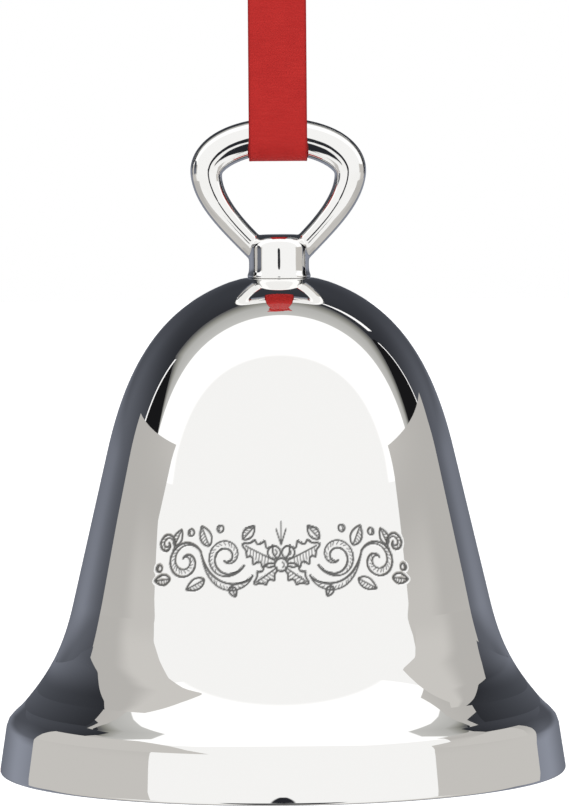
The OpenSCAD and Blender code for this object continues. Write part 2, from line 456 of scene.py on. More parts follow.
def woven(name, skins, node):
    """A piece of the ribbon. A place is a point's own across, along and out of the ribbon, in
    millimetres."""
    thing = add_mesh(name, *joined(*[made[:2] for made in skins]), FROM_HOOK)
    places = [place for made in skins for place in made[2]]
    attribute = thing.data.attributes.new("strip", "FLOAT_VECTOR", "POINT")
    attribute.data.foreach_set("vector", np.array(places, np.float32).ravel())
    return finish_piece(thing, ribbon_red, "hanger", "ribbon_red", node)


def make_ribbon():
    """Two strands and the bight under the top bar, one taut strip."""
    line = through(RIBBON_ROUTE, 0.2)
    section = strip_section(RIBBON_W / 2, RIBBON_T)
    across = Vector((1, 0, 0))
    rings, along = [], 0.0
    for i, (y, z) in enumerate(line):
        before, after = line[max(i - 1, 0)], line[min(i + 1, len(line) - 1)]
        tangent = Vector((0, *(after - before))).normalized()
        out = Vector((0, -tangent.z, tangent.y))
        if i:
            along += float(np.linalg.norm(line[i] - line[i - 1]))
        ripple = 0.03 * math.sin(along * 0.9) * math.sin(along * 0.37)
        centre = Vector((0, y, z)) + out * ripple * 0.5
        rings.append([(centre + across * x + out * lift, (x, along, lift)) for x, lift in section])
    return woven("ribbon_strands", [skin(rings)], "ribbon")


ribbon = make_ribbon()


# The knot: its body lies across the strands, and its two tails stand up from it
KNOT_R = 2.3
KNOT_REACH = 4.7
KNOT_Z = 2.5
BAND_HALF_W = 1.75
BAND_TURNS = 1.25
TAIL_LOW = 3.2
TAIL_LENGTH = 9.8
TAIL_CUT = 2
TAIL_LEAN = 17
TAIL_Y = 0.5


def knot_surface(x, turn):
    """A point of the knot's pleated body, and the way out of it. Pleats run askew."""
    swell = (1 - (abs(x) / KNOT_REACH) ** 3.2) ** 0.5
    pleat = 0.10 * math.cos(5 * turn + 1.5 * x) + 0.05 * math.cos(9 * turn - 2.1 * x)
    r = (KNOT_R - 0.25) * swell * (1 + pleat * 0.6)
    out = Vector((0, math.sin(turn), math.cos(turn)))
    return Vector((x, 0, KNOT_Z)) + out * r, out


def knot_body():
    """The folds that the knot pulls tight."""
    rings = []
    steps = 72
    for i in range(1, steps):
        x = -KNOT_REACH * math.cos(math.pi * i / steps)
        rings.append(
            [(knot_surface(x, a)[0], (x * 0.6, a * KNOT_R + x * 0.4, 0)) for a in around(96)]
        )
    return skin(rings)


def knot_wrap():
    """The band that crosses over the knot's front and tucks in at both ends of its turn."""
    rings = []
    steps = 150
    section = strip_section(BAND_HALF_W, RIBBON_T)
    for i in range(steps + 1):
        t = i / steps
        turn = -math.pi / 2 + 2 * math.pi * BAND_TURNS * (t - 0.5)
        lean = 1.5 * math.sin(math.pi * (t - 0.5))
        tuck = 0.45 * (abs(2 * t - 1) ** 6)
        ring = []
        for x, y in section:
            fold = 0.07 * math.cos(4.2 * x)
            point, out = knot_surface(lean + x, turn)
            ring.append((point + out * (y + 0.16 + fold - tuck), (x, t * 18, y)))
        rings.append(ring)
    return skin(rings)


def knot_tail(side):
    """A tail that fans out of the knot, curls a little and ends in a slanting cut."""
    rings = []
    steps = 60
    lean = math.radians(side * TAIL_LEAN)
    up = Vector((math.sin(lean), 0, math.cos(lean)))
    across = Vector((math.cos(lean), 0, -math.sin(lean)))
    foot = Vector((side, side * TAIL_Y, TAIL_LOW))
    section = strip_section(RIBBON_W / 2, RIBBON_T)
    for i in range(steps + 1):
        t = i / steps
        fan = 0.58 + 0.42 * math.sin(math.pi / 2 * min(1, t / 0.55))
        pleat = 0.3 * (1 - min(1, t / 0.6)) ** 1.5
        ring = []
        for x, y in section:
            length = TAIL_LENGTH - TAIL_CUT * (0.5 - x / RIBBON_W)
            bow = 0.3 * side * math.sin(2.6 * t) * t - 0.022 * side * x * x * t
            fold = pleat * math.cos(2.9 * x)
            point = foot + up * (t * length) + across * (x * fan)
            ring.append((point + Vector((0, y + bow + fold, 0)), (x, t * length, y)))
        rings.append(ring)
    return skin(rings)


def make_knot():
    """The ribbon's knot: pleated body, wrapped band and two tails, all of the same ribbon."""
    return woven("ribbon_knot_tied", [knot_body(), knot_wrap(), knot_tail(-1), knot_tail(1)], "ribbon_knot")


knot = make_knot()


# ---------------------------------------------------------------- bell shell


def unit(v):
    return v / np.linalg.norm(v)


def bezier(a, b, c, d, t):
    a, b, c, d = (np.asarray(point, float) for point in (a, b, c, d))
    t = np.asarray(t, float)[..., None]
    return (1 - t) ** 3 * a + 3 * (1 - t) ** 2 * t * b + 3 * (1 - t) * t * t * c + t**3 * d


CURVE_PULL = 0.38


def curve(a, da, b, db, steps):
    """Points from a, leaving along da, to just before b, arriving along db."""
    reach = CURVE_PULL * np.linalg.norm(b - a)
    t = np.linspace(0, 1, steps, endpoint=False)
    return bezier(a, a + reach * da, b - reach * db, b, t)


RIM_EDGE = 0.35
WALL = 1.1
LIP_WALL = 1.8
CROWN_WALL = 1.2
CROWN_SEAT_R = 3.9
INNER_SEAT_R = 4.6
THIN_FROM_H = 12
HOLE_R = 1.25
LIP_LOW = np.array([MOUTH_R, RIM_EDGE])
LIP_HIGH = np.array([31.0, 5.3])
SHOULDER = np.array([29.1, 7.7])
SHOULDER_LEAN = math.radians(41)
FLARE = np.array([23.4, 18.9])
WAIST = np.array([19.35, 36.2])
DOME = np.array([5.6, 54.8])
DOME_SLOPE = math.radians(20)


def shell_outside():
    """The outline from the rim to the crown, as close (radius, height) points."""
    lip_dir = unit(LIP_HIGH - LIP_LOW)
    shoulder_dir = np.array([-math.sin(SHOULDER_LEAN), math.cos(SHOULDER_LEAN)])
    waist_dir = unit(WAIST - FLARE)
    dome_dir = np.array([-math.cos(DOME_SLOPE), math.sin(DOME_SLOPE)])
    straight = np.linspace(0, 1, 60, endpoint=False)[:, None]
    return np.vstack(
        [
            LIP_LOW + (LIP_HIGH - LIP_LOW) * straight,
            curve(LIP_HIGH, lip_dir, SHOULDER, shoulder_dir, 60),
            curve(SHOULDER, shoulder_dir, FLARE, waist_dir, 120),
            FLARE + (WAIST - FLARE) * straight,
            curve(WAIST, waist_dir, DOME, dome_dir, 240),
            DOME[None],
        ]
    )


def spaced(low, high, fine_low, fine_high, fine, coarse, growth=1.14):
    """Values from low to high: fine apart between fine_low and fine_high, then growing coarser."""

    def beyond(start, end, sign):
        values, here, step = [], start, fine
        while (end - here) * sign > 1.5 * step:
            step = min(step * growth, coarse)
            here += sign * step
            values.append(here)
        if values:
            values = list(start + (np.array(values) - start) * (end - start) / (values[-1] - start))
        return values

    middle = np.linspace(fine_low, fine_high, round((fine_high - fine_low) / fine) + 1)
    return np.array(beyond(fine_low, low, -1)[::-1] + list(middle) + beyond(fine_high, high, 1))


# The engraved band: its reach to either side, as arc length, and its heights above the rim
BAND_REACH = 15.4
BAND_LOW, BAND_HIGH = 21.2, 29.7
BAND_R = 22.1
BAND_FINE = 0.11
# How far apart the shell's points grow away from the band: along its outline, and round it
COARSE = 0.8
COARSE_TURN = math.radians(3.2)
# Depth at which a cut's floor takes its full painted shade and roughness
CUT_FULL = 0.07
# The inside starts above the rim's rounding, and takes every third point of the outside
INSIDE_SKIP, INSIDE_STEP = 5, 3


def stroke(points, width, depth):
    """A graver's cut along (across, up) points, in millimetres on the band."""
    return (np.array(points, float), width, depth)


def spiral(centre, start_r, end_r, start, turn, steps=40):
    """Points that wind from start_r to end_r round a centre. Angles are in degrees."""
    t = np.linspace(0, 1, steps)
    a = np.radians(start + turn * t)
    r = start_r + (end_r - start_r) * t
    return np.stack([centre[0] + r * np.cos(a), centre[1] + r * np.sin(a)], axis=1)


def leaf_frame(base, angle, points):
    """Turns points drawn along +x from the origin to a base and an angle in degrees."""
    a = math.radians(angle)
    turn = np.array([[math.cos(a), math.sin(a)], [-math.sin(a), math.cos(a)]])
    return np.array(points, float) @ turn + np.array(base)


def leaf(base, angle, length, half_width, lobes=0, hatch=0.36):
    """Strokes of a leaf: its outline, its midrib and shading cuts on its lower half."""
    t = np.linspace(0, 1, 44)
    swell = half_width * np.sin(np.pi * t**0.85) ** 0.8
    if lobes:
        swell = swell * (1 - 0.42 * np.abs(np.sin(np.pi * lobes * t)))
    strokes = [
        stroke(leaf_frame(base, angle, np.stack([t * length, side * swell], 1)), 0.29, 0.11)
        for side in (-1, 1)
    ]
    rib = np.stack([np.linspace(0, 0.9 * length, 20), np.zeros(20)], 1)
    strokes.append(stroke(leaf_frame(base, angle, rib), 0.24, 0.09))
    for x in np.arange(0.22 * length, 0.86 * length, hatch):
        half_here = np.interp(x / length, t, swell)
        cut = [(x, -0.12), (x - 0.25 * half_here, -0.82 * half_here)]
        strokes.append(stroke(leaf_frame(base, angle, cut), 0.18, 0.07))
    return strokes


def berry(centre, r):
    """Strokes of a berry: a ring and a short shine inside it."""
    return [
        stroke(spiral(centre, r, r, 0, 360), 0.29, 0.11),
        stroke(spiral(centre, 0.45 * r, 0.45 * r, 300, 130, 10), 0.22, 0.08),
    ]


def scroll(path, swell, hatch=0.42):
    """A flourish that swells like a pen stroke: two edge cuts, with shading cuts between them."""
    along = np.gradient(path, axis=0)
    along /= np.linalg.norm(along, axis=1)[:, None]
    aside = np.stack([-along[:, 1], along[:, 0]], 1)
    t = np.linspace(0, 1, len(path))
    half = (swell * np.sin(np.pi * t) ** 1.3)[:, None]
    strokes = [
        stroke(path + aside * half, 0.31, 0.12),
        stroke(path - aside * half, 0.25, 0.10),
    ]
    run = np.concatenate([[0], np.cumsum(np.linalg.norm(np.diff(path, axis=0), axis=1))])
    for stop in np.arange(hatch, run[-1], hatch):
        i = int(np.searchsorted(run, stop))
        if half[i, 0] > 0.2:
            start = path[i] - aside[i] * half[i] * 0.8
            end = path[i] + aside[i] * half[i] * 0.1 + along[i] * 0.25
            strokes.append(stroke([start, end], 0.17, 0.07))
    return strokes


def vine(side):
    """Strokes of one side of the band: two scrolls of vine, a link between them and a curled tip."""
    inner = spiral((6.1, 0.35), 2.25, 0.5, 205, 450, 70)
    outer = spiral((11.0, -0.3), 2.15, 0.45, 150, -460, 70)
    link = bezier((3.1, -1.7), (3.9, -3.4), (7.6, -4.0), (9.1, 0.6), np.linspace(0, 1, 60))
    tip = spiral((13.6, 1.5), 1.1, 0.25, 215, -430, 50)
    strokes = scroll(inner, 0.42) + scroll(outer, 0.40) + scroll(link, 0.36) + scroll(tip, 0.25)
    shoots = (
        ((8.5, -2.2), -30, 2.3, 0.62), ((8.2, 1.5), 62, 2.4, 0.68), ((12.7, -2.3), -8, 2.0, 0.56),
        ((12.6, 1.4), 112, 1.9, 0.55), ((4.3, 2.3), 132, 1.9, 0.55), ((5.4, -2.9), -116, 1.2, 0.4),
    )
    for base, angle, length, half_width in shoots:
        strokes += leaf(base, angle, length, half_width, hatch=0.34)
    for centre in ((7.0, 3.4), (10.6, 2.9), (14.3, -1.2)):
        strokes += berry(centre, 0.38)
    return [(points * (side, 1), width, depth) for points, width, depth in strokes]


def ornament():
    """Strokes of the whole band: a holly sprig with three berries between two vines."""
    strokes = []
    for side in (1, -1):
        sprig = leaf((0.55, -0.1), 26, 4.2, 1.5, lobes=4) + leaf((0.5, -0.8), -36, 3.0, 1.05, lobes=3)
        strokes += [(points * (side, 1), width, depth) for points, width, depth in sprig]
        strokes += vine(side)
    for centre in ((-0.78, 0.85), (0.78, 0.85), (0, -0.5)):
        strokes += berry(centre, 0.7)
    for tip in (-18, 0, 18):
        rise = leaf_frame((0, 1.7), 90 + tip, [(0, 0), (2.5 - abs(tip) * 0.04, 0)])
        strokes.append(stroke(rise, 0.24, 0.09))
    return strokes


def cut_depths(across, up):
    """How deep the ornament is cut at each point of the band, in millimetres."""
    depths = np.zeros(across.shape)
    for points, width, depth in ornament():
        half = width / 2
        near = (
            (across > points[:, 0].min() - half) & (across < points[:, 0].max() + half)
            & (up > points[:, 1].min() - half) & (up < points[:, 1].max() + half)
        )
        x, y = across[near][:, None], up[near][:, None]
        if not x.size:
            continue
        a, b = points[:-1], points[1:]
        d = b - a
        t = ((x - a[:, 0]) * d[:, 0] + (y - a[:, 1]) * d[:, 1]) / np.maximum((d**2).sum(1), 1e-9)
        t = np.clip(t, 0, 1)
        gap = np.hypot(x - a[:, 0] - t * d[:, 0], y - a[:, 1] - t * d[:, 1]).min(axis=1)
        run = np.clip(1 - gap / half, 0, 1)
        depths[near] = np.maximum(depths[near], depth * run * (2 - run))
    return depths


def rounded(centre, r, start, end, steps):
    a = np.radians(np.linspace(start, end, steps))
    return np.stack([centre[0] + r * np.cos(a), centre[1] + r * np.sin(a)], 1)


def make_shell():
    """The drawn shell, with the ornament cut into its front."""
    fine = shell_outside()
    length = np.concatenate([[0], np.cumsum(np.linalg.norm(np.diff(fine, axis=0), axis=1))])
    band_low = float(np.interp(BAND_LOW, fine[:, 1], length))
    band_high = float(np.interp(BAND_HIGH, fine[:, 1], length))
    stops = spaced(0, length[-1], band_low, band_high, BAND_FINE, COARSE)
    outside = np.stack([np.interp(stops, length, fine[:, k]) for k in (0, 1)], 1)
    tangent = np.gradient(outside, axis=0)
    tangent /= np.linalg.norm(tangent, axis=1)[:, None]
    inward = np.stack([-tangent[:, 1], tangent[:, 0]], 1)

    share = np.clip((outside[:, 1] - LIP_HIGH[1]) / (THIN_FROM_H - LIP_HIGH[1]), 0, 1)
    thickness = WALL + (LIP_WALL - WALL) * (1 + np.cos(np.pi * share)) / 2
    inside = (outside + inward * thickness[:, None])[INSIDE_SKIP:][::-1][::INSIDE_STEP]
    inner_rim_r = MOUTH_R - LIP_WALL
    inner_edge = rounded((inner_rim_r + RIM_EDGE, RIM_EDGE), RIM_EDGE, 180, 270, 5)
    outer_edge = rounded((MOUTH_R - RIM_EDGE, RIM_EDGE), RIM_EDGE, -90, -6, 6)
    seat_h = CROWN_H - CROWN_WALL
    outline = np.vstack(
        [
            inner_edge,
            outer_edge,
            outside,
            [(CROWN_SEAT_R + 0.5, CROWN_H - 0.1), (CROWN_SEAT_R, CROWN_H), (2.4, CROWN_H)],
            [(HOLE_R, CROWN_H), (HOLE_R, seat_h), (2.8, seat_h), (INNER_SEAT_R, seat_h)],
            inside,
        ]
    )
    first = len(inner_edge) + len(outer_edge)
    reach = BAND_REACH / BAND_R
    angles = spaced(-np.pi, np.pi, -reach, reach, BAND_FINE / BAND_R, COARSE_TURN)[:-1]

    radius = np.repeat(outline[:, :1], len(angles), 1)
    height = np.repeat(outline[:, 1:], len(angles), 1)
    rows = slice(first, first + len(outside))
    across = np.repeat(angles[None] * BAND_R, len(outside), 0)
    slant = (stops - (band_low + band_high) / 2)[:, None] + 0 * across
    depth = cut_depths(across, slant)
    radius[rows] += inward[:, :1] * depth
    height[rows] += inward[:, 1:] * depth
    points = np.stack([radius * np.sin(angles), -radius * np.cos(angles), height], -1)
    faces = grid_faces(len(outline), len(angles), True, True)
    shell = add_mesh("bell_shell_silver", points.reshape(-1, 3), faces, ABOVE_RIM)
    # The cut share sets how much painted shade and roughness each point of a cut takes
    cut = np.zeros(radius.shape, np.float32)
    cut[rows] = np.clip(depth / CUT_FULL, 0, 1)
    attribute = shell.data.attributes.new("cut", "FLOAT", "POINT")
    attribute.data.foreach_set("value", cut.ravel())
    mark_corners(shell, len(angles), [first + len(outside) + k for k in (2, 3, 4, 6)])
    finish_piece(shell, silver_shell, "bell", "silver_shell", "bell_shell")


def mark_corners(thing, columns, rows):
    """Marks whole rings of edges as sharp, where a turned shape has a true corner."""
    wanted = set(rows)
    for edge in thing.data.edges:
        a, b = edge.vertices
        if a // columns == b // columns and a // columns in wanted:
            edge.use_edge_sharp = True


make_shell()


# ---------------------------------------------------------------- handle

NECK_R = 3.35
NECK_TOP_H = 60.1
NECK_ROUND = 1.5
BAR_H = 71.1
LOOP_HALF_W = 8.05
LOOP_DROP = 4.1
LOOP_SIDE = np.array([LOOP_HALF_W, BAR_H - LOOP_DROP])
LEG_FOOT = np.array([2, 57.9])
LEG_HIGH_PULL = np.array([LOOP_HALF_W - 0.1, 63.6])
LEG_LOW_PULL = np.array([4.25, 60.3])
BAR_SIZE = np.array([4.1, 3.4])
LEG_SIZE = np.array([2.7, 2.8])
LEG_RIDGE = 0.2


def rod_centre(u):
    """The loop's rod from the middle of the top bar, at 0, to the foot of a leg, at 1."""
    if u <= 0.5:
        a = math.pi * u
        return np.array([LOOP_HALF_W * math.sin(a), LOOP_SIDE[1] + LOOP_DROP * math.cos(a)])
    return bezier(LOOP_SIDE, LEG_HIGH_PULL, LEG_LOW_PULL, LEG_FOOT, 2 * u - 1)


def rod_rings(steps, sides):
    """Rings round the whole loop. The front of each leg crests a little towards the opening."""
    rings = []
    for i in range(-steps, steps + 1):
        u = abs(i) / steps
        side = 1 if i >= 0 else -1
        here = rod_centre(u)
        ahead, behind = rod_centre(min(u + 0.01, 1)), rod_centre(max(u - 0.01, 0))
        if u < 0.01:
            ahead, behind = np.array([1.0, 0]), np.array([-1.0, 0])
        tangent = unit(ahead - behind)
        inward = np.array([-tangent[1], tangent[0]]) * -1
        fade = (1 + math.cos(math.pi * min(1, max(0, (u - 0.2) / 0.7)))) / 2
        size = LEG_SIZE + (BAR_SIZE - LEG_SIZE) * fade
        ridge = LEG_RIDGE * min(1, max(0, (u - 0.25) / 0.35))
        ring = []
        for a in around(sides):
            x, z = here + size[0] / 2 * math.cos(a) * inward
            y = size[1] / 2 * math.sin(a) * (1 + ridge * math.cos(a))
            ring.append((side * x, y, z))
        rings.append(ring)
    return rings


def make_handle():
    """The cast neck and loop, melted together with small fillets."""
    neck = np.vstack(
        [
            [(0.01, CROWN_H + 0.02), (3.5, CROWN_H + 0.02), (3.55, CROWN_H + 0.12), (3.55, CROWN_H + 0.3)],
            bezier(
                (3.47, CROWN_H + 0.5), (3.3, CROWN_H + 0.8), (3.36, CROWN_H + 1.6),
                (NECK_R, CROWN_H + 2.4), np.linspace(0, 1, 10),
            ),
            rounded((NECK_R - NECK_ROUND, NECK_TOP_H - NECK_ROUND), NECK_ROUND, 0, 90, 12),
            [(0.01, NECK_TOP_H)],
        ]
    )
    loop = sweep(rod_rings(60, 36))
    handle = cast("handle_silver", joined(lathe(neck, 120), loop), 0.1, 14)
    finish_piece(handle, silver_handle, "bell", "silver_handle", "hanging_loop")


make_handle()


# ---------------------------------------------------------------- fixings and clapper

SHANK_R = 1.2
RUNNING_GAP = 0.05
WASHER_TOP_H = CROWN_H - CROWN_WALL
WASHER_T = 0.7
WASHER_R = 4
NUT_TOP_H = WASHER_TOP_H - WASHER_T
NUT_T = 2
NUT_AF = 5
EYE_H = 48
EYE_R, EYE_WIRE_R = 2.1, 0.7
LINK_R, LINK_WIRE_R = 2.3, 0.55
CLAPPER_EYE_R, CLAPPER_WIRE_R = 1.9, 0.6
RING_GAP = 0.1
LINK_H = EYE_H - EYE_R + EYE_WIRE_R + RING_GAP + LINK_WIRE_R - LINK_R
CLAPPER_EYE_H = LINK_H - LINK_R + LINK_WIRE_R + RING_GAP + CLAPPER_WIRE_R - CLAPPER_EYE_R
BALL_R, BALL_H, BALL_FLAT = 5.5, 12, 0.2
STEM_R, COLLAR_R, COLLAR_T, HEAD_T = 0.8, 1.4, 0.8, 0.6


def turned(name, outline, closed, material, body, slot, node, turns=96, corner=32):
    """A turned piece of the bell, with sharp corners where its outline turns hard."""
    thing = add_mesh(name, *lathe(outline, turns, closed), ABOVE_RIM)
    sharpen(thing, corner)
    finish_piece(thing, material, body, slot, node)


def make_washer():
    low, high, hole, bevel = NUT_TOP_H, WASHER_TOP_H - 0.01, SHANK_R + RUNNING_GAP, 0.1
    outline = [
        (hole, high), (hole, low + bevel), (hole + bevel, low), (WASHER_R - 2 * bevel, low),
        (WASHER_R - 0.06, low + 0.06), (WASHER_R, low + 2 * bevel), (WASHER_R, high - bevel),
        (WASHER_R - bevel, high),
    ]
    turned("washer_steel", outline, True, fixing_steel, "bell", "fixing_steel", "crown_washer")


def make_nut():
    """A hexagon nut whose corners are turned off at both faces."""
    hole, low, high = SHANK_R + RUNNING_GAP, NUT_TOP_H - NUT_T, NUT_TOP_H - 0.01
    corner_r = NUT_AF / 2 / math.cos(math.radians(30))
    turn = around(96)
    levels = [
        (hole, high - 0.15, 0), (hole, low + 0.15, 0), (hole + 0.15, low, 0), (2.1, low, 0),
        (2.42, low + 0.02, 1), (2.6, low + 0.12, 1), (corner_r, low + 0.32, 1), (corner_r, high - 0.32, 1),
        (2.6, high - 0.12, 1), (2.42, high - 0.02, 1), (2.1, high, 0), (hole + 0.15, high, 0),
    ]
    points = []
    for r, h, hexagonal in levels:
        for a in turn:
            flat = NUT_AF / 2 / math.cos((a + math.pi / 6) % (math.pi / 3) - math.pi / 6)
            reach = min(r, flat) if hexagonal else r
            points.append((reach * math.sin(a), -reach * math.cos(a), h))
    nut = add_mesh("nut_steel", points, grid_faces(len(levels), len(turn), True, True), ABOVE_RIM)
    sharpen(nut, 25)
    finish_piece(nut, fixing_steel, "bell", "fixing_steel", "lock_nut")


def make_eye_screw():
    top = CROWN_H + 3.3
    shank = [
        (0.01, EYE_H + EYE_R - 0.3), (SHANK_R * 0.8, EYE_H + EYE_R - 0.2), (SHANK_R, EYE_H + EYE_R + 0.35),
        (SHANK_R, top - 0.3), (SHANK_R - 0.3, top), (0.01, top),
    ]
    shape = joined(lathe(shank, 64), wire_ring(EYE_R, EYE_WIRE_R, EYE_H, turns=96, sides=28))
    screw = cast("eye_screw_steel", shape, 0.08, 8)
    finish_piece(screw, fixing_steel, "bell", "fixing_steel", "eye_screw")


def make_link():
    shape = wire_ring(LINK_R, LINK_WIRE_R, LINK_H, across_x=False, gap=0.05, turns=96, sides=24)
    link = add_mesh("link_silver", *shape, ABOVE_RIM)
    sharpen(link, 50)
    finish_piece(link, silver_clapper, "link", "silver_clapper", "clapper_link")


def make_stem():
    """The clapper's wire: eye, stem, collar above the ball and hammered head below it."""
    ball_top = BALL_H + BALL_R - BALL_FLAT
    ball_bottom = BALL_H - BALL_R + BALL_FLAT
    eye_low = CLAPPER_EYE_H - CLAPPER_EYE_R
    head_low = ball_bottom - HEAD_T
    outline = np.vstack(
        [
            [(0.01, head_low), (0.5, head_low + 0.02)],
            bezier(
                (0.9, head_low + 0.06), (1.2, head_low + 0.14), (COLLAR_R, ball_bottom - 0.4),
                (COLLAR_R, ball_bottom - 0.12), np.linspace(0, 1, 6),
            ),
            [(COLLAR_R - 0.05, ball_bottom), (STEM_R, ball_bottom), (STEM_R, ball_top)],
            [(COLLAR_R, ball_top), (COLLAR_R, ball_top + COLLAR_T / 2), (STEM_R, ball_top + COLLAR_T)],
            [(STEM_R, eye_low + 0.2), (0.01, eye_low + 0.4)],
        ]
    )
    eye = wire_ring(CLAPPER_EYE_R, CLAPPER_WIRE_R, CLAPPER_EYE_H, turns=96, sides=28)
    stem = cast("clapper_stem_silver", joined(lathe(outline, 64), eye), 0.09, 5)
    finish_piece(stem, silver_clapper, "clapper", "silver_clapper", "clapper_stem")


def make_ball():
    lean = math.degrees(math.acos((BALL_R - BALL_FLAT) / BALL_R))
    outside = rounded((0, BALL_H), BALL_R, -90 + lean, 90 - lean, 72)
    hole = STEM_R + RUNNING_GAP
    low, high = outside[0][1], outside[-1][1]
    outline = [(hole, high - 0.1), (hole, low + 0.1), (hole + 0.1, low), *outside, (hole + 0.1, high)]
    turned("clapper_ball_silver", outline, True, silver_clapper, "clapper", "silver_clapper",
           "clapper_ball", turns=144, corner=20)


make_washer()
make_nut()
make_eye_screw()
make_link()
make_stem()
make_ball()


# ---------------------------------------------------------------- stage

FLOOR_DROP = 700
PANEL_ROWS, PANEL_COLUMNS = 60, 40
CARD_R = 60
CARD_LOW = -12
SCREEN_INNER = 28
SCREEN_TOP = (49, 46)
WHITE = (1.1, 1.1, 1.1)
WINDOW = (0.945, 0.945, 0.94)
DARK = (0.02, 0.021, 0.026)
GREY_TINT = (1.0, 0.975, 0.935)
SLATE_TINT = (0.93, 1.0, 1.2)

# Each card, left (-1) and right (1): its inner and outer edges, as heights above the rim with
# angles from the front, and its top edge, as heights at its inner and outer corners
CARDS = {
    -1: {
        "inner": [(-12, 38), (8, 42), (22, 43), (29, 60), (32, 63), (41, 69), (54, 65)],
        "outer": [(-12, 96), (26, 100), (36, 103), (54, 106)],
        "top": (53, 54),
    },
    1: {
        "inner": [(-12, 47), (12, 49), (25, 51), (31, 62), (41, 66), (47, 68), (54, 67)],
        "outer": [(-12, 96), (8, 102), (28, 108), (50, 112), (57, 115)],
        "top": (52, 57),
    },
}

# The flats close to the flare: a grey one on either side, and a dark one that starts where the
# grey one ends
FLAT_R = 28.1
FLAT_LOW = 9.7
FLAT_TOP = (20.4, 19.9)
DARK_FLAT_OUTER = 104
DARK_FLAT_TOP = (17, 12.5)
# Lower strips: a dark one for the flare's foot, a grey ledge for the lip's shoulder, and a dark
# shelf over the ledge. Inner edges are (height, angle) points or angles; outer ones are angles.
FOOT_R = 29.5
FOOT_SPAN = (8.0, 13.5)
FOOT_INNER = {-1: [(8, 48), (13.5, 52)], 1: [(8, 50), (13.5, 57)]}
LEDGE_R = 31.35
LEDGE_SPAN = (5.6, 9)
LEDGE_INNER = {-1: [(5.6, 15), (6.2, 20), (9, 34)], 1: [(5.6, 34), (6.2, 40), (9, 54)]}
SHELF_SPAN = (9, 14)
SHELF_INNER = {-1: 50, 1: 52}
LEDGE_OUTER = 62
LEDGE_LEVEL = 0.575
FLATS = {
    -1: {
        "inner": [
            (9.7, 33), (12.5, 26), (14, 21), (14.5, 27), (15.5, 33), (17, 38), (18.5, 42), (20.6, 44),
        ],
        "outer": [(9.7, 45), (11.5, 49), (13.2, 55), (15, 61), (16, 69), (18.5, 72), (20.6, 73.5)],
    },
    1: {
        "inner": [(9.7, 42), (11, 44), (13, 41), (15, 38), (16.1, 36), (17, 42), (19, 45), (20.6, 45)],
        "outer": [(9.7, 47), (11, 53), (13, 61), (13.4, 67), (15, 71), (17.5, 76), (20.6, 79.5)],
    },
}


def glow(name, colour):
    material, graph = new_material(name)
    graph.emission((*colour, 1))
    return material


def stage_piece(thing, material, seen=False):
    thing.data.materials.append(material)
    thing.visible_camera = seen
    thing.visible_shadow = seen


def tinted_glow(name, tint):
    """A glow whose brightness comes from each point's level."""
    material, graph = new_material(name)
    level = graph.node("ShaderNodeAttribute", attribute_name="level").outputs["Fac"]
    graph.emission(graph.tinted(level, tint))
    return material


def curved_panel(name, side, r, low, inner, outer, top, material, shade=None):
    """A panel on an upright cylinder, between two edges of (height, angle from the front) points.
    shade gives a point's level from its height and its shares of the way out and of the way up."""
    points, levels = [], []
    for i in range(PANEL_ROWS):
        for j in range(PANEL_COLUMNS):
            share = j / (PANEL_COLUMNS - 1)
            high = top[0] + (top[1] - top[0]) * share
            h = low + (high - low) * i / (PANEL_ROWS - 1)
            start, end = np.interp(h, *zip(*inner)), np.interp(h, *zip(*outer))
            a = math.radians(start + (end - start) * share)
            points.append((side * r * math.sin(a), -r * math.cos(a), h))
            levels.append(shade(h, share, i / (PANEL_ROWS - 1)) if shade else 1)
    panel = add_mesh(name, points, grid_faces(PANEL_ROWS, PANEL_COLUMNS), ABOVE_RIM)
    attribute = panel.data.attributes.new("level", "FLOAT", "POINT")
    attribute.data.foreach_set("value", levels)
    stage_piece(panel, material)


def ease(value, start, end):
    """A smooth step from 0 to 1 as value goes from start to end."""
    t = min(1, max(0, (value - start) / (end - start)))
    return t * t * (3 - 2 * t)


# The panels' shades. curved_panel gives each a height and the shares of the way out and up, and
# each uses what it needs of them.


def card_shade(h, share, rise):
    """The card is brighter low down and towards its inner edge."""
    inner = ease(share, 0.6, 0.3)
    return (
        0.475 + 0.09 * ease(h, 30, 8) + 0.085 * ease(h, 44, 31) * inner * ease(h, 14, 26)
        + 0.07 * ease(h, 40, 53) * (1 - share) ** 2
    )


def flat_shade(h, share, rise):
    return 0.475 + (0.125 - 0.04 * ease(rise, 0.75, 1)) * ease(share, 0.62, 0.34)


def dark_flat_shade(h, share, rise):
    return 0.028 + 0.075 * share + (0.06 + 0.02 * share) * ease(rise, 0.3, 1.0)


def foot_shade(h, share, rise):
    return 0.028 + 0.085 * share


def ledge_shade(h, share, rise):
    return LEDGE_LEVEL


